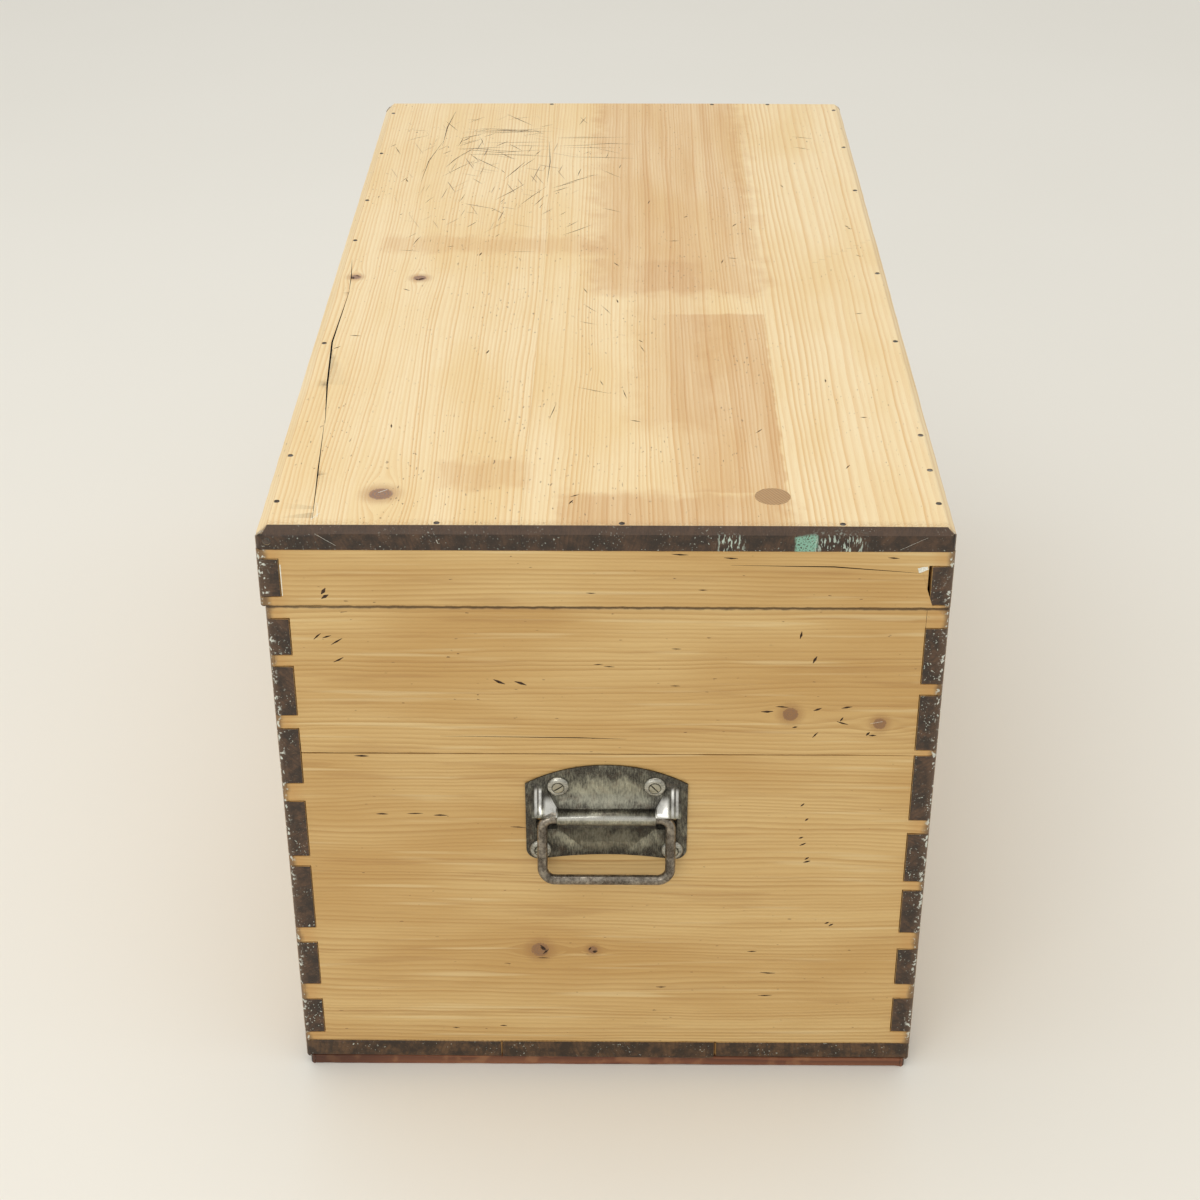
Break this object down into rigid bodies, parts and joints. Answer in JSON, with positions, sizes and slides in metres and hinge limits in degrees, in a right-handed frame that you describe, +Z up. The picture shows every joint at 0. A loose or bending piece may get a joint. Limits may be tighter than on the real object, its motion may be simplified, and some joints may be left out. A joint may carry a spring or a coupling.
{
  "type": "dovetailed pine chest",
  "caption": "Long dovetailed pine chest with a boxed lid on butt hinges at the back and a drop handle on a steel plate at each end.",
  "frame": {"origin": "on the floor under the middle of the lid, at the underside of the runners", "axes": "+X along the length towards the right-hand end, -Y is the front where the lid opens, +Y is the hinge side, +Z up"},
  "size_m": [1.0156, 0.5103, 0.5064],
  "materials": {
    "lid_pine": "pale scrubbed pine top, satin oil, with nail holes, scratches and dark end grain",
    "rim_pine": "honey pine, satin oil, dark stained end grain on the tails",
    "end_wall_pine": "honey pine with level grain and knots, satin oil",
    "long_wall_pine": "honey pine, satin oil, dark stained end grain on the tails",
    "bottom_pine": "aged brown pine, end grain darkened with old stain",
    "runner_pine": "reddish brown aged pine",
    "plug_pine": "end grain plug, satin oil",
    "plate_steel": "antiqued dark steel, brushed bright on the raised edges",
    "bail_steel": "brown worn round steel rod",
    "washer_nickel": "dull nickel",
    "screw_steel": "dull bright steel",
    "hinge_steel": "dark worn steel",
    "nail_iron": "dark old iron"
  },
  "bodies": {
    "chest": {"front_lower_board": "long_wall_pine", "front_upper_board": "long_wall_pine", "back_lower_board": "long_wall_pine", "back_upper_board": "long_wall_pine", "right_end_lower_board": "end_wall_pine", "right_end_upper_board": "end_wall_pine", "left_end_lower_board": "end_wall_pine", "left_end_upper_board": "end_wall_pine", "bottom_board_front": "bottom_pine", "bottom_board_middle": "bottom_pine", "bottom_board_back": "bottom_pine", "right_runner": "runner_pine", "left_runner": "runner_pine", "bottom_nails": "nail_iron", "runner_nails": "nail_iron", "right_handle_plate": "plate_steel", "right_cup_washers": "washer_nickel", "right_handle_screws": "screw_steel", "left_handle_plate": "plate_steel", "left_cup_washers": "washer_nickel", "left_handle_screws": "screw_steel", "right_hinge_body_leaf": "hinge_steel", "right_hinge_pin": "screw_steel", "left_hinge_body_leaf": "hinge_steel", "left_hinge_pin": "screw_steel", "hinge_body_screws": "screw_steel"},
    "lid": {"lid_board_front": "lid_pine", "lid_board_middle": "lid_pine", "lid_board_back": "lid_pine", "lid_plug": "plug_pine", "lid_rim_front": "rim_pine", "lid_rim_back": "rim_pine", "lid_rim_right": "rim_pine", "lid_rim_left": "rim_pine", "lid_nails": "nail_iron", "right_hinge_lid_leaf": "hinge_steel", "left_hinge_lid_leaf": "hinge_steel", "hinge_lid_screws": "screw_steel"},
    "right_bail": {"right_bail": "bail_steel"},
    "left_bail": {"left_bail": "bail_steel"}
  },
  "joints": [
    {"name": "lid_hinge", "type": "hinge", "parent": "chest", "child": "lid", "pos_m": [0, 0.2544, 0.4412], "axis": [-1, 0, 0], "range_deg": [0, 105]},
    {"name": "right_bail_swing", "type": "hinge", "parent": "chest", "child": "right_bail", "pos_m": [0.496, 0.001, 0.256], "axis": [0, -1, 0], "range_deg": [0, 81.5]},
    {"name": "left_bail_swing", "type": "hinge", "parent": "chest", "child": "left_bail", "pos_m": [-0.496, 0.001, 0.256], "axis": [0, 1, 0], "range_deg": [0, 81.5]}
  ]
}
